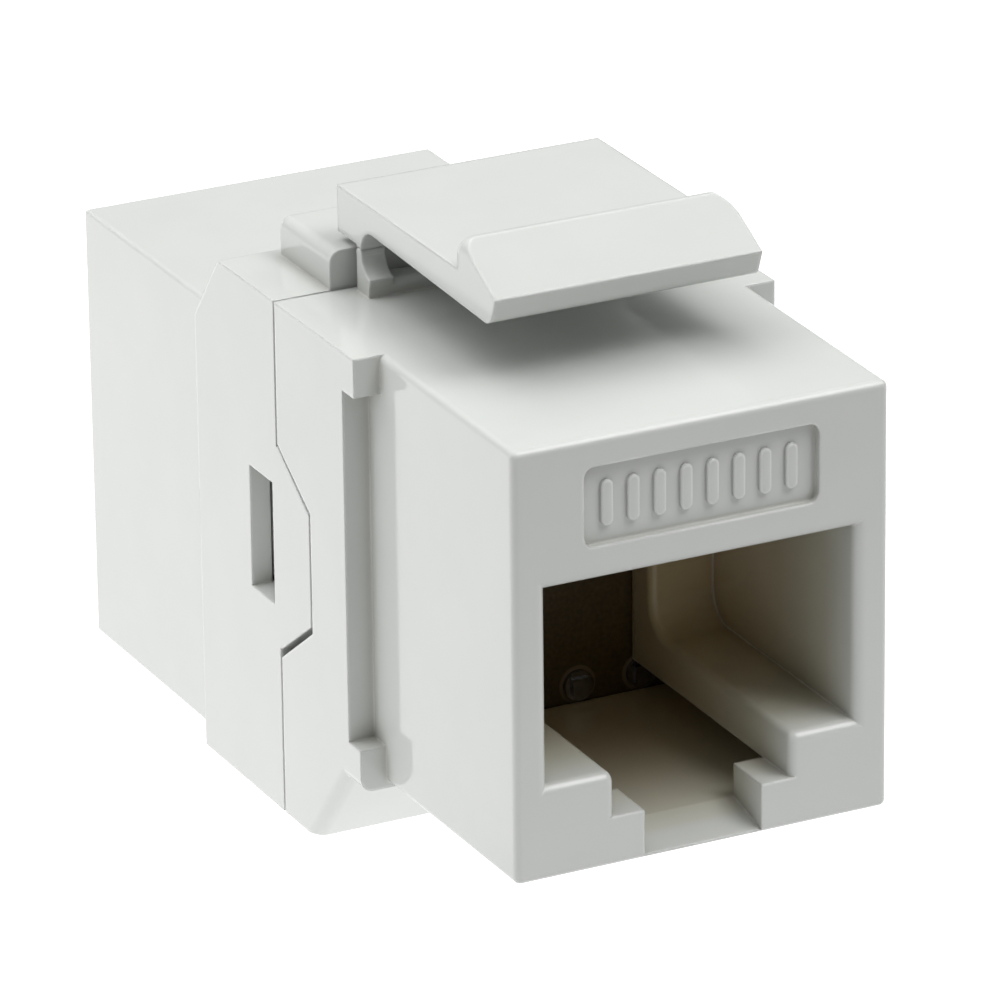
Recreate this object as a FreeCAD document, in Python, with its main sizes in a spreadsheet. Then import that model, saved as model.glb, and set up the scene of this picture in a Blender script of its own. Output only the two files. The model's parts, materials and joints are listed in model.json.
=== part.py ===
import FreeCAD, Part
import math
import os
import Sketcher
from types import SimpleNamespace

# A keystone coupler: two snapped-together plastic housings with a modular port at each end.
# Frame: +X to the right seen from the front, +Y from the front port to the rear port, +Z up.
# The origin is at the middle of the underside. All sizes are in millimetres.
# A station is a distance behind the front face, and a rise is a height above the front block's underside.

SIZES = {
    # Outer forms
    "whole_length": 36.0,
    "front_width": 14.56,
    "front_height": 16.05,
    "front_draft": 0.1,
    "front_lift": 3.58,
    "shoulder_width": 1.02,
    "shoulder_station": 10.25,
    "seam_station": 16.7,
    "hook_step": 1.24,
    "hook_length": 2.66,
    "hook_drop": 0.3,
    "block_radius": 0.25,
    "hook_radius": 0.5,
    "flange_length": 6.9,
    "slope_length": 2.15,
    "slope_drop": 2.75,
    "rear_foot": 0.3,
    "rear_inset": 1.12,
    "rear_base": 0.78,
    "rear_roof": 1.67,
    "rear_radius": 0.15,
    # Shoulder groove on each side of the front block
    "groove_depth": 0.95,
    "groove_bottom_rise": 1.3,
    "groove_top_margin": 1.35,
    # Label recess on the front face
    "label_width": 9.1,
    "label_height": 2.95,
    "label_margin": 1.05,
    "label_depth": 0.3,
    "label_radius": 0.4,
    # Modular port, the same at both ends
    "port_wall": 1.28,
    "port_rise": 3.5,
    "brow_height": 5.25,
    "shelf_thickness": 1.65,
    "shelf_radius": 0.3,
    "tab_width": 6.9,
    "slot_width": 4.6,
    "floor_thickness": 0.6,
    "slot_edge": 0.12,
    "undercut_width": 10.4,
    "front_wall": 2.1,
    "stop_station": 10.6,
    "stop_radius": 1.2,
    "mouth_radius": 0.4,
    "roof_thickness": 1.4,
    # Walls round the inner space
    "fit_gap": 0.1,
    "bottom_wall": 0.8,
    "hook_wall": 1.6,
    "top_wall": 1.55,
    # Seam between the housings, with a tongue and a snap window on each side
    "seam_gap": 0.12,
    "tongue_wall": 0.8,
    "tongue_reach": 2.65,
    "tongue_root_rise": 2.5,
    "tongue_root_height": 8.25,
    "tongue_tip_rise": 4.4,
    "tongue_tip_height": 4.6,
    "tongue_slack": 0.22,
    "window_step": 0.5,
    "window_length": 1.95,
    "window_rise": 4.4,
    "window_height": 4.7,
    "snap_reach": 2.7,
    "snap_margin": 0.18,
    "barb_gap": 0.38,
    "barb_height": 0.4,
    "barb_flat": 0.3,
    "barb_length": 1.2,
    # Raised platform behind the latch
    "platform_width": 12.1,
    "platform_length": 4.2,
    "platform_radius": 0.45,
    # Latch
    "latch_width": 10.38,
    "latch_lift": 3.6,
    "latch_thickness": 1.03,
    "latch_overhang": 1.2,
    "latch_end_height": 1.75,
    "latch_rest_gap": 0.3,
    "panel_gap": 2.01,
    "nose_height": 1.12,
    "nose_crest": 0.2,
    "nose_length": 2.89,
    "nose_tip_drop": 0.25,
    "nose_radius": 0.6,
    "chin_length": 2.5,
    "chin_drop": 1.3,
    "chin_radius": 0.6,
    "foot_length": 0.97,
    "foot_height": 0.55,
    "foot_radius": 0.25,
    "heel_inset": 0.33,
    "leg_width": 0.93,
    "neck_inset": 0.17,
    "neck_drop": 2.05,
    "curl_inset": 1.24,
    "curl_radius": 0.9,
    "bead_radius": 0.2,
    "knuckle_gap": 0.04,
    # Circuit boards
    "board_step": 1.55,
    "board_thickness": 1.2,
    "board_overlap": 0.3,
    "board_gap": 0.12,
    "board_sink": 0.15,
    # Spring contacts and their carriers
    "contact_pitch": 1.02,
    "contact_width": 0.4,
    "contact_thickness": 0.35,
    "contact_bend": 0.35,
    "contact_cover": 1.2,
    "contact_stagger": 1.4,
    "contact_step": 0.4,
    "contact_turn": 0.15,
    "contact_setback": 0.7,
    "contact_reach": 2.7,
    "contact_tail": 1.05,
    "contact_gap": 0.05,
    "carrier_step": 1.1,
    "carrier_floor": 0.8,
    # Link pins between the two boards, and the header that spaces them
    "pin_pitch": 2.54,
    "pin_thickness": 0.64,
    "pin_rise": 1.25,
    "pin_spacing": 2.1,
    "pin_clearance": 0.76,
    "pin_tip": 0.12,
    "solder_radius": 0.58,
    "solder_height": 0.2,
    "header_width": 9.4,
    "header_rise": 0.5,
    "header_cover": 1.5,
}
CONTACT_COUNT = 8
REAR_SOLDER_COUNT = 4
SHEET = "sizes"
CUT_MARGIN = 1.0
SAME_PLACE = 0.001


class Size:
    """A length of the sheet, or a sum or share of such lengths: its value and its expression."""

    def __init__(self, value, text):
        self.value = value
        self.text = text

    def __add__(self, other):
        other = as_size(other)
        return Size(self.value + other.value, f"({self.text} + {other.text})")

    def __sub__(self, other):
        other = as_size(other)
        return Size(self.value - other.value, f"({self.text} - {other.text})")

    def __mul__(self, factor):
        return Size(self.value * factor, f"({self.text} * {factor})")

    def __truediv__(self, divisor):
        return Size(self.value / divisor, f"({self.text} / {divisor})")

    def __neg__(self):
        return Size(-self.value, f"(-{self.text})")


def as_size(number):
    return number if isinstance(number, Size) else Size(float(number), f"({float(number)})")


def make_sheet():
    """Writes each driving size to a cell with an alias, and returns them as sizes by name."""
    sheet = doc.addObject("Spreadsheet::Sheet", SHEET)
    for row, (name, value) in enumerate(SIZES.items(), start=1):
        sheet.set(f"A{row}", name)
        sheet.set(f"B{row}", str(value))
        sheet.setAlias(f"B{row}", name)
    doc.recompute()
    return SimpleNamespace(**{name: Size(value, f"{SHEET}.{name}") for name, value in SIZES.items()})


doc = FreeCAD.newDocument("keystone_coupler")
S = make_sheet()
NOTHING = Size(0.0, "0")
FRONT = -(S.whole_length / 2)


def back(station):
    return FRONT + station


def up(rise):
    return S.rear_foot + S.front_lift + rise


SHOULDER = back(S.shoulder_station)
SEAM = back(S.seam_station)
HOOK_TOP = SHOULDER + S.hook_step
HOOK_BOTTOM = HOOK_TOP + S.hook_length
HOOK_UNDER = up(-S.hook_drop)
WIDE_WIDTH = S.front_width + S.shoulder_width * 2
WIDE_TOP = up(S.front_height + S.front_draft)
WALL_X = WIDE_WIDTH / 2
TONGUE_X = WALL_X - S.tongue_wall
SNAP_X = TONGUE_X - S.fit_gap
REAR_DROP = S.rear_foot + S.front_lift - S.rear_base
PORT_WIDTH = S.front_width - S.port_wall * 2
PORT_TOP_RISE = S.front_height - S.brow_height
CEILING_RISE = S.front_height - S.roof_thickness
BOARD_STATION = S.stop_station + S.board_step
BOARD_BACK_STATION = BOARD_STATION + S.board_thickness
BOARD_WIDTH = PORT_WIDTH + S.board_overlap * 2
INNER_WIDTH = BOARD_WIDTH + S.fit_gap * 2
INNER_END_STATION = BOARD_STATION - S.board_gap
LATCH_TOP = up(S.front_height + S.latch_lift)
LATCH_END_UNDER = LATCH_TOP - S.latch_end_height
HEEL = SEAM - S.heel_inset
NECK = (HEEL - S.neck_inset, LATCH_TOP - S.neck_drop)
CURL = HEEL - S.curl_inset
UPPER_RUN = up(CEILING_RISE - S.contact_cover)
LOWER_RUN = UPPER_RUN - S.contact_stagger
CARRIER_BOTTOM = LOWER_RUN - S.carrier_floor
TAIL = back(BOARD_STATION + S.contact_tail)
TOP_PIN = LOWER_RUN - REAR_DROP - S.pin_clearance


# Sketches and features

def new_body(label):
    body = doc.addObject("PartDesign::Body", label)
    body.Label = label
    return body


def sketch_on(body, name, role, offset=None):
    """A sketch on one of the body's own origin planes, moved along that plane's normal by offset."""
    sketch = body.newObject("Sketcher::SketchObject", name)
    plane = [feature for feature in body.Origin.OriginFeatures if feature.Role == role][0]
    sketch.AttachmentSupport = [(plane, "")]
    sketch.MapMode = "FlatFace"
    if offset is not None:
        sketch.AttachmentOffset = FreeCAD.Placement(FreeCAD.Vector(0, 0, offset.value), FreeCAD.Rotation())
        sketch.setExpression("AttachmentOffset.Base.z", offset.text)
    return sketch


def fix(sketch, kind, *items):
    """Adds a constraint whose last item is a size, and binds it to that size's expression."""
    size = items[-1]
    index = sketch.addConstraint(Sketcher.Constraint(kind, *items[:-1], size.value))
    sketch.setExpression(f"Constraints[{index}]", size.text)


def place_point(sketch, geometry, end, point):
    fix(sketch, "DistanceX", -1, 1, geometry, end, point[0])
    fix(sketch, "DistanceY", -1, 1, geometry, end, point[1])


def outline(sketch, points):
    """A closed outline of straight lines through the points, each held at its own two sizes."""
    places = [FreeCAD.Vector(u.value, v.value, 0) for u, v in points]
    count = len(points)
    first = sketch.GeometryCount
    for i in range(count):
        sketch.addGeometry(Part.LineSegment(places[i], places[(i + 1) % count]), False)
    for i in range(count):
        sketch.addConstraint(Sketcher.Constraint("Coincident", first + i, 2, first + (i + 1) % count, 1))
    for i, point in enumerate(points):
        place_point(sketch, first + i, 1, point)


def outlines(sketch, shapes):
    for points in shapes:
        outline(sketch, points)


def circle(sketch, u, v, radius):
    centre = FreeCAD.Vector(u.value, v.value, 0)
    sketch.addGeometry(Part.Circle(centre, FreeCAD.Vector(0, 0, 1), radius.value), False)
    place_point(sketch, 0, 3, (u, v))
    fix(sketch, "Radius", 0, radius)


def box_points(low_u, low_v, high_u, high_v):
    return [(low_u, low_v), (high_u, low_v), (high_u, high_v), (low_u, high_v)]


def box_round(u, v, width, height):
    return box_points(u - width / 2, v - height / 2, u + width / 2, v + height / 2)


def extrude(body, kind, name, role, draw, length, start=None, outward=True):
    """Pads or pockets what draw puts on a sketch: centred on the plane, or from start to one side of it."""
    sketch = sketch_on(body, name + "_sketch", role, start)
    draw(sketch)
    feature = body.newObject("PartDesign::" + kind, name)
    feature.Profile = sketch
    feature.setExpression("Length", length.text)
    if start is None:
        feature.SideType = "Symmetric"
    elif kind == "Pad":
        feature.Reversed = not outward
    else:
        feature.Reversed = outward
    doc.recompute()
    return feature


def side_prism(body, kind, name, points, width):
    """A prism of a side outline (Y, Z), centred on the middle plane."""
    return extrude(body, kind, name, "YZ_Plane", lambda sketch: outline(sketch, points), width)


def side_pair(body, kind, name, points, inner, depth):
    """The same side outline (Y, Z) on both sides, from the distance inner outward by depth."""
    for side, start in (("right", inner), ("left", -inner)):
        extrude(body, kind, f"{name}_{side}", "YZ_Plane", lambda sketch: outline(sketch, points),
                depth, start, side == "right")


def top_pair(body, kind, name, points, low, height):
    """An outline seen from above (X, Y) and its mirror image, from the height low upward."""
    for side, sign in (("right", 1), ("left", -1)):
        mirrored = [(x * sign, y) for x, y in points]
        extrude(body, kind, f"{name}_{side}", "XY_Plane", lambda sketch: outline(sketch, mirrored),
                height, low)


def round_edges(body, name, radius, wanted):
    """Rounds those edges of the body's last feature that the test picks."""
    base = body.Tip
    names = [f"Edge{i}" for i, edge in enumerate(base.Shape.Edges, start=1) if wanted(edge)]
    fillet = body.newObject("PartDesign::Fillet", name)
    fillet.Base = (base, names)
    fillet.setExpression("Radius", radius.text)
    doc.recompute()
    return fillet


def near(value, size):
    return abs(value - size.value) < SAME_PLACE


def along(edge, axis):
    """True for a straight edge along "X", "Y" or "Z"."""
    box = edge.BoundBox
    lengths = {"X": box.XLength, "Y": box.YLength, "Z": box.ZLength}
    return lengths.pop(axis) > SAME_PLACE and max(lengths.values()) < SAME_PLACE


# The modular port: a cut with shelves for the plug's body, lips for its tab and stops for its nose

def cut_port(body, facing, drop):
    """Cuts a port into a housing's end: facing is 1 at the front and -1 at the rear, drop lowers it."""

    def y(station):
        return back(station) * facing

    def z(rise):
        return up(rise) - drop

    outside = as_size(-CUT_MARGIN)
    ceiling = z(CEILING_RISE)
    port_top = z(PORT_TOP_RISE)
    shelf_top = z(S.port_rise)
    shelf_under = z(S.port_rise - S.shelf_thickness)
    floor = z(S.floor_thickness)
    inner_end = y(INNER_END_STATION)
    wall_back = y(S.front_wall)
    side_prism(body, "Pocket", "port", [
        (y(outside), shelf_top),
        (y(S.stop_station), shelf_top),
        (y(S.stop_station), port_top),
        (inner_end, port_top),
        (inner_end, ceiling),
        (wall_back, ceiling),
        (wall_back, port_top),
        (y(outside), port_top),
    ], PORT_WIDTH)
    stop = y(S.stop_station)
    round_edges(body, "stop_foot", S.stop_radius, lambda edge: along(edge, "X")
                and near(edge.BoundBox.YMin, stop) and near(edge.BoundBox.ZMin, shelf_top))
    mouth = y(NOTHING)
    half_port = PORT_WIDTH / 2
    round_edges(body, "mouth", S.mouth_radius, lambda edge: near(edge.BoundBox.YMin, mouth)
                and near(edge.BoundBox.YMax, mouth)
                and abs(edge.BoundBox.XMin) < half_port.value + SAME_PLACE
                and abs(edge.BoundBox.XMax) < half_port.value + SAME_PLACE
                and edge.BoundBox.ZMin > shelf_top.value - SAME_PLACE
                and edge.BoundBox.ZMax < port_top.value + SAME_PLACE)
    side_prism(body, "Pocket", "tab_channel",
               box_points(y(outside), shelf_under, inner_end, port_top), S.tab_width)
    side_prism(body, "Pocket", "tab_undercut",
               box_points(wall_back, floor, inner_end, shelf_under), S.undercut_width)
    side_prism(body, "Pocket", "tab_slot", [
        (y(outside), z(S.slot_edge)),
        (mouth, z(S.slot_edge)),
        (wall_back, floor),
        (wall_back, shelf_under),
        (y(outside), shelf_under),
    ], S.slot_width)
    half_tab = S.tab_width / 2
    round_edges(body, "shelf_edges", S.shelf_radius, lambda edge: along(edge, "Y")
                and near(abs(edge.BoundBox.XMin), half_tab) and near(edge.BoundBox.ZMin, shelf_top))


# The front housing, with the latch's foot and legs on top

def front_housing():
    body = new_body("front_housing")
    front_block(body)
    side_prism(body, "Pad", "wide_section", [
        (SHOULDER, WIDE_TOP),
        (SEAM, WIDE_TOP),
        (SEAM, S.rear_foot),
        (HOOK_BOTTOM, S.rear_foot),
        (HOOK_TOP, HOOK_UNDER),
        (SHOULDER, HOOK_UNDER),
    ], WIDE_WIDTH)
    round_edges(body, "hook_slope_edges", S.hook_radius, lambda edge: near(edge.BoundBox.YMin, HOOK_TOP)
                and near(edge.BoundBox.YMax, HOOK_BOTTOM) and near(abs(edge.BoundBox.XMin), WALL_X))
    round_edges(body, "hook_step_edges", S.hook_radius, lambda edge: along(edge, "Y")
                and near(edge.BoundBox.YMin, SHOULDER) and near(edge.BoundBox.ZMin, HOOK_UNDER))
    shoulder_groove(body)
    latch_foot(body)
    cut_port(body, 1, NOTHING)
    front_inner_space(body)
    tongue_and_snap(body)
    label_recess(body)
    return body


def front_block(body):
    """The block that passes through the panel, a little lower at its front face than at the shoulder."""
    side_prism(body, "Pad", "block", [
        (FRONT, up(NOTHING)),
        (SHOULDER, up(-S.front_draft)),
        (HOOK_BOTTOM, up(-S.front_draft)),
        (HOOK_BOTTOM, WIDE_TOP),
        (SHOULDER, WIDE_TOP),
        (FRONT, up(S.front_height)),
    ], S.front_width)
    round_edges(body, "block_edges", S.block_radius, lambda edge: near(edge.BoundBox.YMin, FRONT)
                or along(edge, "Y"))


def shoulder_groove(body):
    """A groove for the panel's edge beside the front block."""
    low = up(S.groove_bottom_rise)
    high = up(S.front_height - S.groove_top_margin)
    points = box_points(SHOULDER - CUT_MARGIN, low, SHOULDER + S.groove_depth, high)
    side_pair(body, "Pocket", "groove", points, S.front_width / 2, S.shoulder_width + CUT_MARGIN)


def latch_foot(body):
    """The strip and the two legs that the latch bends on, each leg with a round bead at its neck."""
    foot_front = HEEL - S.foot_length
    foot_top = WIDE_TOP + S.foot_height
    side_prism(body, "Pad", "foot",
               box_points(foot_front, WIDE_TOP - S.roof_thickness / 2, HEEL, foot_top), S.latch_width)
    round_edges(body, "foot_edge", S.foot_radius, lambda edge: along(edge, "X")
                and near(edge.BoundBox.YMin, foot_front) and near(edge.BoundBox.ZMin, foot_top))
    leg_inner = S.latch_width / 2 - S.leg_width
    leg_low = foot_top - S.foot_radius
    side_pair(body, "Pad", "leg", [
        (foot_front, leg_low),
        (HEEL, leg_low),
        (HEEL, NECK[1]),
        (CURL, NECK[1]),
    ], leg_inner, S.leg_width)
    cut_curl(body)
    for side, start in (("right", leg_inner), ("left", -leg_inner)):
        extrude(body, "Pad", f"bead_{side}", "YZ_Plane",
                lambda sketch: circle(sketch, *NECK, S.bead_radius), S.leg_width, start, side == "right")


def cut_curl(body):
    """The round hollow in front of the legs that thins them to a neck."""
    centre = LATCH_TOP - S.latch_thickness - S.curl_radius
    extrude(body, "Pocket", "curl", "YZ_Plane",
            lambda sketch: circle(sketch, CURL, centre, S.curl_radius), S.latch_width * 2)


def front_inner_space(body):
    """The space behind the port for the board, open at the seam, with a floor that follows the hook."""
    behind = SEAM + S.snap_reach
    board_floor = up(S.floor_thickness - S.board_sink - S.fit_gap)
    inner_floor = S.rear_foot + S.bottom_wall
    side_prism(body, "Pocket", "inner_space", [
        (back(INNER_END_STATION), up(CEILING_RISE)),
        (behind, up(CEILING_RISE)),
        (behind, inner_floor),
        (HOOK_BOTTOM + S.hook_wall, inner_floor),
        (back(BOARD_BACK_STATION + S.fit_gap), board_floor),
        (back(INNER_END_STATION), board_floor),
    ], INNER_WIDTH)


def tongue_points(slack, gap):
    """The side outline of the tongue, or of its recess where slack and gap are nothing."""
    root_low = up(S.tongue_root_rise)
    tip_low = up(S.tongue_tip_rise)
    tip = SEAM - S.tongue_reach + gap
    return [
        (SEAM, root_low + S.tongue_root_height - gap),
        (tip, tip_low + S.tongue_tip_height - gap),
        (tip, tip_low + slack),
        (SEAM, root_low + slack + gap),
    ]


def stretched(points, extra):
    """The tongue's outline with its root moved back past the seam by extra."""
    top, tip_top, tip_low, low = points
    return [(top[0] + extra, top[1]), top, tip_top, tip_low, low, (low[0] + extra, low[1])]


def tongue_and_snap(body):
    """Recesses for the rear housing's tongues, and arms whose barbs snap into its windows."""
    recess = stretched(tongue_points(NOTHING, NOTHING), S.seam_gap)
    side_pair(body, "Pocket", "tongue_recess", recess, SNAP_X, S.tongue_wall + S.fit_gap * 2)
    low = up(S.window_rise + S.snap_margin)
    high = up(S.window_rise + S.window_height - S.snap_margin)
    arm_x = INNER_WIDTH / 2
    side_pair(body, "Pad", "snap_arm",
              box_points(SEAM - S.tongue_reach / 2, low, SEAM + S.snap_reach, high), arm_x, SNAP_X - arm_x)
    catch = SEAM + S.window_step + S.barb_gap
    barb_root = (arm_x + SNAP_X) / 2
    top_pair(body, "Pad", "barb", [
        (barb_root, catch),
        (SNAP_X + S.barb_height, catch),
        (SNAP_X + S.barb_height, catch + S.barb_flat),
        (SNAP_X, catch + S.barb_length),
        (barb_root, catch + S.barb_length),
    ], low, high - low)


def label_recess(body):
    """A shallow bare field with rounded corners above the port."""
    high = up(S.front_height - S.label_margin)
    floor = FRONT + S.label_depth
    side_prism(body, "Pocket", "label",
               box_points(FRONT - CUT_MARGIN, high - S.label_height, floor, high), S.label_width)
    half = S.label_width / 2
    round_edges(body, "label_corners", S.label_radius, lambda edge: along(edge, "Y")
                and near(abs(edge.BoundBox.XMin), half) and near(edge.BoundBox.YMax, floor))


# The rear housing, with the tongues, the snap windows and the platform

def rear_housing():
    body = new_body("rear_housing")
    start = SEAM + S.seam_gap
    wide_end = SEAM + S.flange_length
    rear_top = S.rear_base + CEILING_RISE + S.rear_roof
    side_prism(body, "Pad", "block",
               box_points(wide_end, NOTHING, -FRONT, rear_top), WIDE_WIDTH - S.rear_inset * 2)
    round_edges(body, "block_edges", S.rear_radius, lambda edge: along(edge, "Y")
                or near(edge.BoundBox.YMin, -FRONT))
    side_prism(body, "Pad", "wide_section", [
        (start, S.rear_foot),
        (wide_end, S.rear_foot),
        (wide_end, WIDE_TOP - S.slope_drop),
        (wide_end - S.slope_length, WIDE_TOP),
        (start, WIDE_TOP),
    ], WIDE_WIDTH)
    platform_low = WIDE_TOP - S.top_wall
    platform_top = LATCH_END_UNDER - S.latch_rest_gap
    side_prism(body, "Pad", "platform",
               box_points(start, platform_low, SEAM + S.platform_length, platform_top), S.platform_width)
    round_edges(body, "platform_edges", S.platform_radius, lambda edge: along(edge, "Y")
                and near(edge.BoundBox.ZMin, platform_top))
    side_pair(body, "Pad", "tongue", stretched(tongue_points(S.tongue_slack, S.seam_gap), S.seam_gap * 2),
              TONGUE_X, S.tongue_wall)
    rear_inner_space(body, start)
    cut_port(body, -1, REAR_DROP)
    return body


def rear_inner_space(body, start):
    """The space for the rear board, open at the seam, with room for the snap arms and their windows."""
    ahead = start - S.tongue_reach
    inner_end = -back(INNER_END_STATION)
    inner_floor = S.rear_foot + S.bottom_wall
    ceiling = up(CEILING_RISE) - REAR_DROP
    high_ceiling = WIDE_TOP - S.top_wall
    board_front = -back(BOARD_BACK_STATION + S.fit_gap)
    side_prism(body, "Pocket", "inner_space", [
        (ahead, inner_floor),
        (inner_end, inner_floor),
        (inner_end, ceiling),
        (board_front, ceiling),
        (board_front - (high_ceiling - ceiling), high_ceiling),
        (ahead, high_ceiling),
    ], INNER_WIDTH)
    low = up(S.window_rise)
    high = low + S.window_height
    side_pair(body, "Pocket", "snap_pocket",
              box_points(start - S.seam_gap, low, SEAM + S.snap_reach + S.fit_gap * 2, high),
              INNER_WIDTH / 2 - S.fit_gap, TONGUE_X - INNER_WIDTH / 2 + S.fit_gap)
    window = SEAM + S.window_step
    side_pair(body, "Pocket", "window", box_points(window, low, window + S.window_length, high),
              SNAP_X, S.tongue_wall * 2)


# The latch: a sprung arm with a nose that catches on the panel

def latch_arm():
    body = new_body("latch_arm")
    crest = LATCH_TOP + S.nose_height
    nose_back = SHOULDER - S.panel_gap
    chin = nose_back - S.chin_length
    chin_under = LATCH_TOP - S.chin_drop
    arm_end = SEAM + S.latch_overhang
    side_prism(body, "Pad", "arm", [
        (chin, chin_under),
        (nose_back - S.nose_length, LATCH_TOP - S.nose_tip_drop),
        (nose_back - S.nose_crest, crest),
        (nose_back, crest),
        (nose_back, LATCH_TOP),
        (arm_end, LATCH_TOP),
        (arm_end, LATCH_END_UNDER),
        (CURL, LATCH_END_UNDER),
        (CURL, LATCH_TOP - S.latch_thickness),
    ], S.latch_width)
    round_edges(body, "chin_edge", S.chin_radius, lambda edge: along(edge, "X")
                and near(edge.BoundBox.YMin, chin) and near(edge.BoundBox.ZMin, chin_under))
    round_edges(body, "nose_corners", S.nose_radius, lambda edge: along(edge, "Y")
                and near(edge.BoundBox.ZMin, crest))
    side_pair(body, "Pad", "leg", box_points(CURL, NECK[1], HEEL, LATCH_END_UNDER),
              S.latch_width / 2 - S.leg_width, S.leg_width)
    cut_curl(body)
    extrude(body, "Pocket", "socket", "YZ_Plane",
            lambda sketch: circle(sketch, *NECK, S.bead_radius + S.knuckle_gap), S.latch_width * 2)
    return body


# Boards, contacts and links, each made for the front port and turned round for the rear one

ENDS = ("front", "rear")


def turn_to(body, end, across=NOTHING):
    """Places a piece made for the front port: as it is, or turned and lowered to the rear port."""
    rear = end == "rear"
    angle = 180 if rear else 0
    shift = -across if rear else across
    drop = -REAR_DROP if rear else NOTHING
    body.Placement = FreeCAD.Placement(
        FreeCAD.Vector(shift.value, 0, drop.value), FreeCAD.Rotation(FreeCAD.Vector(0, 0, 1), angle))
    body.setExpression("Placement.Base.x", shift.text)
    body.setExpression("Placement.Base.z", drop.text)
    doc.recompute()
    return body


def contact_across(index):
    return S.contact_pitch * (index - (CONTACT_COUNT - 1) / 2)


def contact_run(index):
    return UPPER_RUN if index % 2 == 0 else LOWER_RUN


def pin_places():
    """The (X, Z) of each link pin: three pairs above each other between the stops, and an outer pair."""
    inner = S.pin_pitch * 0.5
    outer = S.pin_pitch * 1.5
    low = up(S.pin_rise)
    pairs = [(inner, low), (inner, TOP_PIN - S.pin_spacing), (inner, TOP_PIN), (outer, low)]
    return [(x * sign, z) for x, z in pairs for sign in (-1, 1)]


def pin_holes(lift):
    hole = S.pin_thickness + S.contact_gap * 2
    return [box_round(x, z + lift, hole, hole) for x, z in pin_places()]


def tail_holes():
    width = S.contact_width + S.contact_gap * 2
    height = S.contact_thickness + S.contact_gap * 2
    return [box_round(contact_across(i), contact_run(i), width, height) for i in range(CONTACT_COUNT)]


def board(end):
    """A board across the inner space, with holes for the link pins and for the contacts' tails."""
    body = new_body(f"{end}_board")
    low = up(S.floor_thickness - S.board_sink)
    high = up(CEILING_RISE) - S.fit_gap
    side_prism(body, "Pad", "plate",
               box_points(back(BOARD_STATION), low, back(BOARD_BACK_STATION), high), BOARD_WIDTH)
    lift = REAR_DROP if end == "rear" else NOTHING
    holes = pin_holes(lift) + tail_holes()
    extrude(body, "Pocket", "holes", "XZ_Plane", lambda sketch: outlines(sketch, holes), S.whole_length)
    return turn_to(body, end)


def contact_carrier(end):
    """A block over the port with a slot from above for each contact."""
    body = new_body(f"{end}_contact_carrier")
    high = up(CEILING_RISE) - S.fit_gap
    carrier_front = back(S.front_wall + S.carrier_step)
    carrier_back = back(INNER_END_STATION)
    side_prism(body, "Pad", "carrier", box_points(carrier_front, CARRIER_BOTTOM, carrier_back, high),
               PORT_WIDTH - S.fit_gap * 2)
    slot_width = S.contact_width + S.contact_gap * 2
    for i in range(CONTACT_COUNT):
        slot_floor = contact_run(i) - S.contact_thickness / 2 - S.contact_gap
        slot = box_points(carrier_front - S.fit_gap, slot_floor, carrier_back + S.fit_gap, high + S.fit_gap)
        extrude(body, "Pocket", f"slot_{i + 1}", "YZ_Plane", lambda sketch: outline(sketch, slot),
                slot_width, contact_across(i) - slot_width / 2, True)
    return turn_to(body, end)


def contact_path(sketch, run):
    """The wire's middle line: forward from the board, down behind the wall, then back into the port."""
    front_place = back(S.front_wall + S.contact_step)
    turn_place = CARRIER_BOTTOM + S.contact_turn
    tip_place = (back(S.stop_station - S.contact_setback), up(PORT_TOP_RISE - S.contact_reach))
    front = front_place.value
    turn = turn_place.value
    tip = FreeCAD.Vector(tip_place[0].value, tip_place[1].value, 0)
    bend = S.contact_bend.value
    normal = FreeCAD.Vector(0, 0, 1)
    slope = math.atan2(tip.y - turn, tip.x - front)
    tail = FreeCAD.Vector(TAIL.value, run.value, 0)
    upper_centre = FreeCAD.Vector(front + bend, run.value - bend, 0)
    lower_centre = FreeCAD.Vector(front + bend, turn, 0)
    lower_arc = Part.ArcOfCircle(Part.Circle(lower_centre, normal, bend), math.pi, 1.5 * math.pi + slope)
    shapes = [
        Part.LineSegment(tail, FreeCAD.Vector(front + bend, run.value, 0)),
        Part.ArcOfCircle(Part.Circle(upper_centre, normal, bend), math.pi / 2, math.pi),
        Part.LineSegment(FreeCAD.Vector(front, run.value - bend, 0), FreeCAD.Vector(front, turn, 0)),
        lower_arc,
        Part.LineSegment(lower_arc.EndPoint, tip),
    ]
    for shape in shapes:
        sketch.addGeometry(shape, False)
    for i in range(len(shapes) - 1):
        sketch.addConstraint(Sketcher.Constraint("Tangent", i, 2, i + 1, 1))
    sketch.addConstraint(Sketcher.Constraint("Horizontal", 0))
    sketch.addConstraint(Sketcher.Constraint("Vertical", 2))
    place_point(sketch, 0, 1, (TAIL, run))
    place_point(sketch, 2, 2, (front_place, turn_place))
    place_point(sketch, 4, 2, tip_place)
    fix(sketch, "Radius", 1, S.contact_bend)
    fix(sketch, "Radius", 3, S.contact_bend)
    return [f"Edge{i + 1}" for i in range(len(shapes))]


def contact(end, index):
    """One flat spring wire, swept along its path."""
    body = new_body(f"{end}_contact_{index + 1}")
    run = contact_run(index)
    path = sketch_on(body, "path", "YZ_Plane")
    edges = contact_path(path, run)
    section = sketch_on(body, "section", "XZ_Plane", -TAIL)
    half_width = S.contact_width / 2
    half_thickness = S.contact_thickness / 2
    outline(section, box_points(-half_width, run - half_thickness, half_width, run + half_thickness))
    doc.recompute()
    wire = body.newObject("PartDesign::AdditivePipe", "wire")
    wire.Profile = section
    wire.Spine = (path, edges)
    doc.recompute()
    return turn_to(body, end, contact_across(index))


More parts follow.
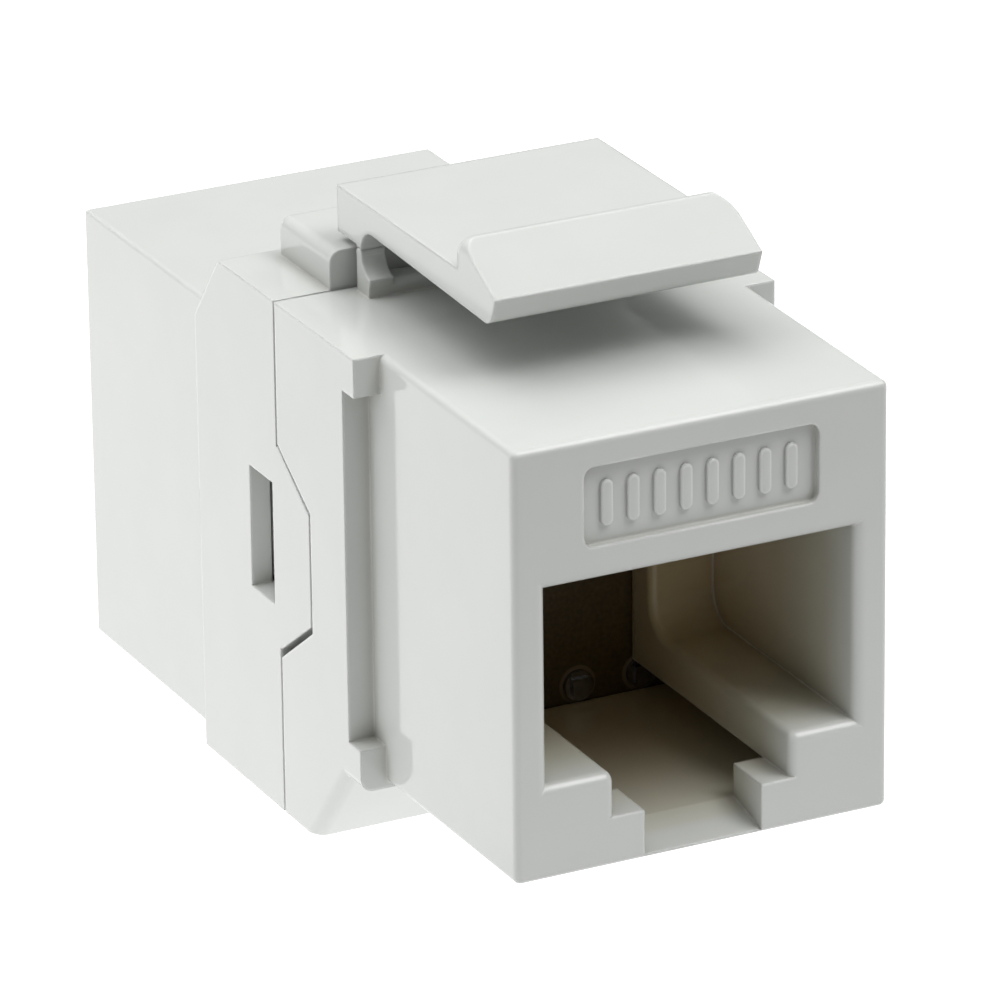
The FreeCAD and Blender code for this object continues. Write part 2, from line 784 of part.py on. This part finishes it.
def link_header():
    """The block that holds the two boards apart and guides the link pins."""
    body = new_body("link_header")
    low = up(S.header_rise)
    half_length = -back(BOARD_BACK_STATION)
    high = TOP_PIN + S.header_cover
    side_prism(body, "Pad", "spacer", box_points(-half_length, low, half_length, high), S.header_width)
    extrude(body, "Pocket", "holes", "XZ_Plane", lambda sketch: outlines(sketch, pin_holes(NOTHING)),
            S.whole_length)
    return body


def link_pin(index, place):
    """A square pin from board to board, with a disc of solder where the port leaves room for one."""
    body = new_body(f"link_pin_{index + 1}")
    front_face = back(BOARD_STATION)
    rear_face = -front_face
    reach = S.solder_height + S.pin_tip
    soldered = index < REAR_SOLDER_COUNT
    rear_end = rear_face + reach if soldered else rear_face
    section = box_round(NOTHING, NOTHING, S.pin_thickness, S.pin_thickness)
    extrude(body, "Pad", "bar", "XZ_Plane", lambda sketch: outline(sketch, section),
            rear_end - front_face + reach, -rear_end)
    solder_disc(body, "front_solder", front_face)
    if soldered:
        solder_disc(body, "rear_solder", rear_face + S.solder_height)
    x, z = place
    body.Placement = FreeCAD.Placement(FreeCAD.Vector(x.value, 0, z.value), FreeCAD.Rotation())
    body.setExpression("Placement.Base.x", x.text)
    body.setExpression("Placement.Base.z", z.text)
    doc.recompute()
    return body


def solder_disc(body, name, back_face):
    extrude(body, "Pad", name, "XZ_Plane", lambda sketch: circle(sketch, NOTHING, NOTHING, S.solder_radius),
            S.solder_height, -back_face)


def check(pieces):
    """Stops if any object failed, or a piece is not one valid solid."""
    failed = [item.Name for item in doc.Objects if {"Invalid", "Error"} & set(item.State)]
    if failed:
        raise RuntimeError(f"failed objects: {failed}")
    for piece in pieces:
        if piece.Shape.isNull() or not piece.Shape.isValid() or len(piece.Shape.Solids) != 1:
            raise RuntimeError(f"{piece.Label} is not one valid solid")


def main():
    pieces = [front_housing(), latch_arm(), rear_housing(), link_header()]
    for end in ENDS:
        pieces += [board(end), contact_carrier(end)]
        pieces += [contact(end, i) for i in range(CONTACT_COUNT)]
    pieces += [link_pin(i, place) for i, place in enumerate(pin_places())]
    doc.recompute()
    check(pieces)
    os.makedirs("parts", exist_ok=True)
    for piece in pieces:
        piece.Shape.exportStep(f"parts/{piece.Label}.step")


main()
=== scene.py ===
import bmesh
import bpy
import json
import math
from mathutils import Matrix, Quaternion, Vector


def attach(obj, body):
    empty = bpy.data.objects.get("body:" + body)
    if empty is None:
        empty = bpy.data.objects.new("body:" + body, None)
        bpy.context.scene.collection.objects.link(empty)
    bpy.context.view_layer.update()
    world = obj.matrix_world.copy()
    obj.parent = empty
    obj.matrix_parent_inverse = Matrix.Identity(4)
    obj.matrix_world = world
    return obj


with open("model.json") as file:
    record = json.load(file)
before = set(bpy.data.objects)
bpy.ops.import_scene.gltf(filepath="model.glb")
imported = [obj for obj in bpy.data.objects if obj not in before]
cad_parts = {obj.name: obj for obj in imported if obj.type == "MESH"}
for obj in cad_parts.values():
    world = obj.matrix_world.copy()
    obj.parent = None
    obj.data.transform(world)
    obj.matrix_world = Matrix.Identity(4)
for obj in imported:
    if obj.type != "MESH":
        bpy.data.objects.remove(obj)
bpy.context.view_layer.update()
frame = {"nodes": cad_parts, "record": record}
nodes = frame["nodes"]

MM = 0.001
WHITE = (1.0, 1.0, 1.0)

# Camera, with its angles in degrees
CAMERA_PLACE = Vector((-124.79, -255.38, 125.83)) * MM
CAMERA_AZIMUTH = 26.249
CAMERA_ELEVATION = 22.1
CAMERA_ROLL = -0.71
CAMERA_LENS = 304.4
CAMERA_NEAR = 0.01
CAMERA_FAR = 10.0

# Soft lamps, in metres and watts: place, size, power and whether glossy faces mirror them
LAMPS = {
    "front": (Vector((0.38, -0.37, 0.77)), 0.50, 5.0, True),
    "back": (Vector((-0.15, 0.24, 0.90)), 1.20, 12.6, False),
    "left": (Vector((-0.85, 0.05, 0.25)), 0.70, 1.6, True),
}
LAMP_AIM = Vector((0.0, 0.0, 0.010))
ROOM_LIGHT = 0.20

# Floor, in metres, with the tints and the roughness of its paper
FLOOR_SIZE = 3.0
FLOOR_TINTS = ((0.3, (0.07, 0.07, 0.07)), (0.7, (0.09, 0.09, 0.09)))
FLOOR_ROUGHNESS = 0.75

# Light that the floor gives off as a lit table does: its strength, and shares along millimetres of Y
FLOOR_GLOW = 1.4
GLOW_STRETCH = (-70.0, 30.0)
GLOW_SHARES = ((0.0, 0.30), (0.32, 0.665), (0.50, 0.665), (0.64, 1.0))

# Housings' plastic: its cloudy tints, its painted shade into a port and in a crevice, its gloss and its
# relief
PLASTIC_TINTS = ((0.3, (0.532, 0.547, 0.527)), (0.7, (0.548, 0.561, 0.542)))
PORT_PAINTED_SHADES = ((0.0, WHITE), (0.2, (0.90, 0.86, 0.75)), (1.0, (0.92, 0.73, 0.46)))
CREVICE_PAINTED_SHADES = ((0.1, (0.60, 0.57, 0.51)), (0.7, WHITE))
CREVICE_REACH = 1.0 * MM
PLASTIC_ROUGHNESS = (0.06, 0.12)
PLASTIC_IOR = 1.5
SINK_DEPTH = 0.02 * MM
SKIN_DEPTH = 0.001 * MM

# Edge rounding that is too small for the solids, and the painted highlight that lightens a thin edge
HOUSING_EDGE = 0.15 * MM
LATCH_EDGE = 0.2 * MM
EDGE_PAINTED_HIGHLIGHT = (0.94, 0.95, 0.93)

# Cosines of an edge's turn where its painted highlight starts and where it is full
EDGE_START = 0.99
EDGE_FULL = 0.78

# Samples of the edge rounding and of the painted crevice shade
SHADE_SAMPLES = 3

# Ports, in millimetres, for the painted port shade: half their width, then mouth, end, lowest and
# highest place of each
PORT_REACH = 6.05
PORT_SOFT = 0.1
FRONT_PORT = (-17.8, -7.5, 4.3, 14.75)
REAR_PORT = (17.8, 7.5, 1.2, 11.65)

# Solder on the boards, in millimetres: places across and up, and the ring of bare copper round it
SOLDER_ACROSS = (-3.81, -1.27, 1.27, 3.81)
SOLDER_LOW = 5.13
SOLDER_HIGH = (9.97, 12.07)
RING_INNER = 0.56
RING_OUTER = 0.70
RING_SOFT = 0.05
RING_COLOUR = (0.16, 0.115, 0.06)

# Relief of eight bars in the recess over the front port
BAR_COUNT = 8
BAR_PITCH = 1.02 * MM
BAR_WIDTH = 0.46 * MM
BAR_HEIGHT = 1.7 * MM
BAR_CENTRE = 17.4 * MM
BAR_TOP = -17.86 * MM
BAR_ROOT = -17.65 * MM
BAR_ARC_STEPS = 8
BAR_EDGE = 0.06 * MM
BAR_EDGE_STEPS = 3

# The part of a noise value's range that it mostly keeps to
NOISE_LOW = 0.3
NOISE_HIGH = 0.7

# Sockets of a colour mix
MIX_FIRST = 6
MIX_SECOND = 7
MIX_RESULT = 2


# Node trees

def new_material(name):
    """A new material, its node tree and its shader."""
    material = bpy.data.materials.new(name)
    material.use_nodes = True
    tree = material.node_tree
    return material, tree, tree.nodes["Principled BSDF"]


def add(tree, kind, **inputs):
    """Adds a node and sets its inputs by name, with spaces written as underscores."""
    node = tree.nodes.new("ShaderNode" + kind)
    for name, value in inputs.items():
        node.inputs[name.replace("_", " ")].default_value = value
    return node


def millimetres(tree):
    """Object coordinates in millimetres."""
    coordinates = add(tree, "TexCoord")
    mapping = add(tree, "Mapping", Scale=(1 / MM, 1 / MM, 1 / MM))
    tree.links.new(coordinates.outputs["Object"], mapping.inputs["Vector"])
    return mapping.outputs["Vector"]


def noise(tree, place, scale, detail=3.0):
    """A noise value with this many spots per millimetre."""
    node = add(tree, "TexNoise", Scale=scale, Detail=detail)
    tree.links.new(place, node.inputs["Vector"])
    return node.outputs["Fac"]


def between(tree, value, low, high):
    """Stretches the middle of a noise value to run from low to high."""
    node = add(tree, "MapRange", From_Min=NOISE_LOW, From_Max=NOISE_HIGH, To_Min=low, To_Max=high)
    tree.links.new(value, node.inputs["Value"])
    return node.outputs["Result"]


def colours(tree, value, *stops):
    """A ramp of (position, colour) stops read by a value."""
    node = add(tree, "ValToRGB")
    ramp = node.color_ramp
    while len(ramp.elements) < len(stops):
        ramp.elements.new(0.5)
    for element, (position, colour) in zip(ramp.elements, stops):
        element.position = position
        element.color = (*colour, 1.0)
    tree.links.new(value, node.inputs["Fac"])
    return node.outputs["Color"]


def bump(tree, height, distance, strength, under=None):
    """A normal that follows a height, laid over the normal under it."""
    node = add(tree, "Bump", Strength=strength, Distance=distance)
    tree.links.new(height, node.inputs["Height"])
    if under is not None:
        tree.links.new(under, node.inputs["Normal"])
    return node.outputs["Normal"]


def inside(tree, value, low, high, soft):
    """1 where a value lies from low to high, falling to 0 over the soft width outside."""
    rise = add(tree, "MapRange", From_Min=low - soft, From_Max=low)
    fall = add(tree, "MapRange", From_Min=high, From_Max=high + soft, To_Min=1.0, To_Max=0.0)
    for node in (rise, fall):
        tree.links.new(value, node.inputs["Value"])
    return product(tree, rise.outputs["Result"], fall.outputs["Result"])


def product(tree, first, *others):
    """Values multiplied together."""
    for other in others:
        node = add(tree, "Math")
        node.operation = "MULTIPLY"
        tree.links.new(first, node.inputs[0])
        tree.links.new(other, node.inputs[1])
        first = node.outputs["Value"]
    return first


def tinted(tree, colour, tint):
    """A colour multiplied by a tint."""
    mix = add(tree, "Mix", Factor=1.0)
    mix.data_type = "RGBA"
    mix.blend_type = "MULTIPLY"
    tree.links.new(colour, mix.inputs[MIX_FIRST])
    tree.links.new(tint, mix.inputs[MIX_SECOND])
    return mix.outputs[MIX_RESULT]


def painted(tree, colour, paint, share):
    """A colour that gives way to a fixed paint as the share goes from 0 to 1."""
    mix = add(tree, "Mix")
    mix.data_type = "RGBA"
    tree.links.new(share, mix.inputs["Factor"])
    tree.links.new(colour, mix.inputs[MIX_FIRST])
    mix.inputs[MIX_SECOND].default_value = (*paint, 1.0)
    return mix.outputs[MIX_RESULT]


def port_depth(tree, place, mouth, end, low, high):
    """0 outside a port, and inside it from 0 at the mouth to 1 at the end, for the painted port shade.
    """
    axes = add(tree, "SeparateXYZ")
    tree.links.new(place, axes.inputs["Vector"])
    depth = add(tree, "MapRange", From_Min=mouth, From_Max=end)
    tree.links.new(axes.outputs["Y"], depth.inputs["Value"])
    across = inside(tree, axes.outputs["X"], -PORT_REACH, PORT_REACH, PORT_SOFT)
    height = inside(tree, axes.outputs["Z"], low, high, PORT_SOFT)
    return product(tree, depth.outputs["Result"], across, height)


def edge_highlight_share(tree, rounded):
    """0 on flat faces, rising to 1 where the rounded normal turns away from the face's own one: the
    share of the painted edge highlight.
    """
    geometry = add(tree, "NewGeometry")
    match = add(tree, "VectorMath")
    match.operation = "DOT_PRODUCT"
    tree.links.new(geometry.outputs["True Normal"], match.inputs[0])
    tree.links.new(rounded, match.inputs[1])
    share = add(tree, "MapRange", From_Min=EDGE_START, From_Max=EDGE_FULL)
    tree.links.new(match.outputs["Value"], share.inputs["Value"])
    return share.outputs["Result"]


def solder_ring(tree, place, across, height):
    """1 on the copper ring round one solder joint, in the plane of the boards."""
    shift = add(tree, "VectorMath")
    shift.operation = "SUBTRACT"
    shift.inputs[1].default_value = (across, 0.0, height)
    flat = add(tree, "VectorMath")
    flat.operation = "MULTIPLY"
    flat.inputs[1].default_value = (1.0, 0.0, 1.0)
    distance = add(tree, "VectorMath")
    distance.operation = "LENGTH"
    tree.links.new(place, shift.inputs[0])
    tree.links.new(shift.outputs["Vector"], flat.inputs[0])
    tree.links.new(flat.outputs["Vector"], distance.inputs[0])
    return inside(tree, distance.outputs["Value"], RING_INNER, RING_OUTER, RING_SOFT)


# Materials

def housing_plastic(name, edge_radius, port=None):
    """Off-white glossy plastic, faintly cloudy, with shallow sink marks, a painted warm shade in its
    port, painted shade in its crevices and a painted highlight on its edges.
    """
    material, tree, shader = new_material(name)
    place = millimetres(tree)
    tint = colours(tree, noise(tree, place, scale=0.35, detail=4.0), *PLASTIC_TINTS)
    # Painted shade: the colour darkens and warms from the port's mouth to its end
    if port is not None:
        shade = colours(tree, port_depth(tree, place, *port), *PORT_PAINTED_SHADES)
        tint = tinted(tree, tint, shade)
    edge = add(tree, "Bevel", Radius=edge_radius)
    edge.samples = SHADE_SAMPLES
    rounded = edge.outputs["Normal"]
    # Painted highlight: thin edges are lightened towards a near-white colour
    tint = painted(tree, tint, EDGE_PAINTED_HIGHLIGHT, edge_highlight_share(tree, rounded))
    # Painted shade: ambient occlusion darkens the colour in crevices and corners
    corner = add(tree, "AmbientOcclusion", Distance=CREVICE_REACH)
    corner.samples = SHADE_SAMPLES
    corner.only_local = True
    tint = tinted(tree, tint, colours(tree, corner.outputs["AO"], *CREVICE_PAINTED_SHADES))
    tree.links.new(tint, shader.inputs["Base Color"])
    gloss = between(tree, noise(tree, place, scale=0.8), *PLASTIC_ROUGHNESS)
    tree.links.new(gloss, shader.inputs["Roughness"])
    shader.inputs["IOR"].default_value = PLASTIC_IOR
    waves = noise(tree, place, scale=0.25, detail=1.0)
    sink = bump(tree, waves, SINK_DEPTH, strength=0.25, under=rounded)
    pores = noise(tree, place, scale=3.0, detail=2.0)
    skin = bump(tree, pores, SKIN_DEPTH, strength=0.2, under=sink)
    tree.links.new(skin, shader.inputs["Normal"])
    return material


def board_lacquer():
    """Dark brown board with a woven glass grain and a copper ring round each solder joint."""
    material, tree, shader = new_material("board_lacquer")
    place = millimetres(tree)
    weave = add(tree, "TexChecker", Scale=5.0)
    tree.links.new(place, weave.inputs["Vector"])
    grain = noise(tree, place, scale=6.0, detail=4.0)
    tint = colours(tree, grain, (0.35, (0.055, 0.034, 0.008)), (0.65, (0.080, 0.052, 0.015)))
    spots = [(across, SOLDER_LOW) for across in SOLDER_ACROSS]
    spots += [(across, height) for across in SOLDER_ACROSS[1:3] for height in SOLDER_HIGH]
    for across, height in spots:
        tint = painted(tree, tint, RING_COLOUR, solder_ring(tree, place, across, height))
    tree.links.new(tint, shader.inputs["Base Color"])
    tree.links.new(between(tree, grain, low=0.32, high=0.45), shader.inputs["Roughness"])
    threads = bump(tree, weave.outputs["Fac"], distance=0.004 * MM, strength=0.4)
    tree.links.new(threads, shader.inputs["Normal"])
    return material


def inner_plastic():
    """Matte black plastic with a fine spark-eroded grain."""
    material, tree, shader = new_material("inner_plastic")
    grain = noise(tree, millimetres(tree), scale=9.0, detail=4.0)
    tint = colours(tree, grain, (0.35, (0.012, 0.012, 0.013)), (0.65, (0.022, 0.022, 0.024)))
    tree.links.new(tint, shader.inputs["Base Color"])
    tree.links.new(between(tree, grain, low=0.45, high=0.62), shader.inputs["Roughness"])
    tree.links.new(bump(tree, grain, distance=0.01 * MM, strength=0.5), shader.inputs["Normal"])
    return material


def contact_gold():
    """Gold plating with fine draw lines along the wire."""
    material, tree, shader = new_material("contact_gold")
    stretch = add(tree, "Mapping", Scale=(30.0, 0.6, 0.6))
    tree.links.new(millimetres(tree), stretch.inputs["Vector"])
    lines = noise(tree, stretch.outputs["Vector"], scale=1.0)
    tint = colours(tree, lines, (0.3, (0.70, 0.47, 0.16)), (0.7, (0.83, 0.60, 0.26)))
    tree.links.new(tint, shader.inputs["Base Color"])
    shader.inputs["Metallic"].default_value = 1.0
    tree.links.new(between(tree, lines, low=0.16, high=0.30), shader.inputs["Roughness"])
    tree.links.new(bump(tree, lines, distance=0.003 * MM, strength=0.3), shader.inputs["Normal"])
    return material


def tinned_metal():
    """Solder and tinned pins, with the dull mottling of cooled tin."""
    material, tree, shader = new_material("tinned_metal")
    mottle = noise(tree, millimetres(tree), scale=2.5)
    tint = colours(tree, mottle, (0.3, (0.26, 0.26, 0.26)), (0.7, (0.36, 0.36, 0.37)))
    tree.links.new(tint, shader.inputs["Base Color"])
    shader.inputs["Metallic"].default_value = 1.0
    tree.links.new(between(tree, mottle, low=0.12, high=0.22), shader.inputs["Roughness"])
    tree.links.new(bump(tree, mottle, distance=0.01 * MM, strength=0.3), shader.inputs["Normal"])
    return material


def dress(piece, material):
    """Gives a piece this one material."""
    piece.data.materials.clear()
    piece.data.materials.append(material)


def dress_nodes():
    """Gives each node the material of its slot, and each housing one with the painted shade of its own
    port.
    """
    slots = {entry["node"]: entry["material_slot"] for entry in frame["record"]["subparts"]}
    materials = {
        "housing_plastic": housing_plastic("latch_plastic", LATCH_EDGE),
        "board": board_lacquer(),
        "inner_plastic": inner_plastic(),
        "contact_metal": contact_gold(),
        "pin_metal": tinned_metal(),
    }
    for name, node in nodes.items():
        dress(node, materials[slots[name]])
    dress(nodes["front_housing"], housing_plastic("front_plastic", HOUSING_EDGE, FRONT_PORT))
    dress(nodes["rear_housing"], housing_plastic("rear_plastic", HOUSING_EDGE, REAR_PORT))


# Relief over the front port

def bar_outline(centre):
    """The outline of an upright bar with round ends, in the recess's plane."""
    radius = BAR_WIDTH / 2
    straight = BAR_HEIGHT / 2 - radius
    outline = []
    for end in (1, -1):
        for step in range(BAR_ARC_STEPS + 1):
            angle = math.pi * step / BAR_ARC_STEPS
            across = radius * math.cos(angle) * end
            up = (straight + radius * math.sin(angle)) * end
            outline.append(Vector((centre + across, BAR_ROOT, BAR_CENTRE + up)))
    return outline


def make_bars():
    """Raised bars in the recess over the front port, one for each contact."""
    shape = bmesh.new()
    for index in range(BAR_COUNT):
        centre = (index - (BAR_COUNT - 1) / 2) * BAR_PITCH
        root = shape.faces.new([shape.verts.new(point) for point in bar_outline(centre)])
        raised = bmesh.ops.extrude_face_region(shape, geom=[root])["geom"]
        tops = [item for item in raised if isinstance(item, bmesh.types.BMVert)]
        bmesh.ops.translate(shape, verts=tops, vec=(0.0, BAR_TOP - BAR_ROOT, 0.0))
        rim = [item for item in raised if isinstance(item, bmesh.types.BMEdge)]
        bmesh.ops.bevel(shape, geom=rim, offset=BAR_EDGE, segments=BAR_EDGE_STEPS, profile=0.5,
                        affect="EDGES")
    bmesh.ops.recalc_face_normals(shape, faces=shape.faces)
    mesh = bpy.data.meshes.new("contact_bars")
    shape.to_mesh(mesh)
    shape.free()
    mesh.shade_smooth()
    bars = bpy.data.objects.new("contact_bars", mesh)
    bpy.context.scene.collection.objects.link(bars)
    dress(bars, nodes["front_housing"].data.materials[0])
    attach(bars, "housing")


# Floor, light and camera

def make_floor():
    """A pale floor of paper on a lit table."""
    bpy.ops.mesh.primitive_plane_add(size=FLOOR_SIZE, location=(0.0, 0.0, 0.0))
    floor = bpy.context.object
    floor.name = "floor"
    material, tree, shader = new_material("floor_paper")
    place = millimetres(tree)
    tint = colours(tree, noise(tree, place, scale=0.8, detail=4.0), *FLOOR_TINTS)
    tree.links.new(tint, shader.inputs["Base Color"])
    shader.inputs["Roughness"].default_value = FLOOR_ROUGHNESS
    axes = add(tree, "SeparateXYZ")
    tree.links.new(place, axes.inputs["Vector"])
    along = add(tree, "MapRange", From_Min=GLOW_STRETCH[0], From_Max=GLOW_STRETCH[1])
    tree.links.new(axes.outputs["Y"], along.inputs["Value"])
    greys = [(position, (share, share, share)) for position, share in GLOW_SHARES]
    glow = colours(tree, along.outputs["Result"], *greys)
    tree.links.new(glow, shader.inputs["Emission Color"])
    shader.inputs["Emission Strength"].default_value = FLOOR_GLOW
    dress(floor, material)


def add_lamp(name, place, size, power, mirrored):
    """A square soft lamp that faces the part."""
    light = bpy.data.lights.new(name, "AREA")
    light.shape = "SQUARE"
    light.size = size
    light.energy = power
    lamp = bpy.data.objects.new(name, light)
    bpy.context.scene.collection.objects.link(lamp)
    lamp.visible_glossy = mirrored
    lamp.location = place
    lamp.rotation_mode = "QUATERNION"
    lamp.rotation_quaternion = (LAMP_AIM - place).to_track_quat("-Z", "Y")


def make_light():
    """Soft lamps in a dim white room."""
    world = bpy.data.worlds.new("studio")
    world.use_nodes = True
    background = world.node_tree.nodes["Background"]
    background.inputs["Color"].default_value = (*WHITE, 1.0)
    background.inputs["Strength"].default_value = ROOM_LIGHT
    bpy.context.scene.world = world
    for name, lamp in LAMPS.items():
        add_lamp(name, *lamp)
    bpy.context.scene.view_settings.view_transform = "Standard"


def make_camera():
    """A long lens that looks down at the part from its front left."""
    data = bpy.data.cameras.new("camera")
    data.lens = CAMERA_LENS
    data.clip_start = CAMERA_NEAR
    data.clip_end = CAMERA_FAR
    camera = bpy.data.objects.new("camera", data)
    bpy.context.scene.collection.objects.link(camera)
    azimuth = math.radians(CAMERA_AZIMUTH)
    elevation = math.radians(CAMERA_ELEVATION)
    level = Vector((math.sin(azimuth), math.cos(azimuth), 0.0)) * math.cos(elevation)
    forward = level - Vector((0.0, 0.0, math.sin(elevation)))
    roll = Quaternion((0.0, 0.0, 1.0), math.radians(CAMERA_ROLL))
    camera.location = CAMERA_PLACE
    camera.rotation_mode = "QUATERNION"
    camera.rotation_quaternion = forward.to_track_quat("-Z", "Y") @ roll
    bpy.context.scene.camera = camera


dress_nodes()
make_bars()
make_floor()
make_light()
make_camera()
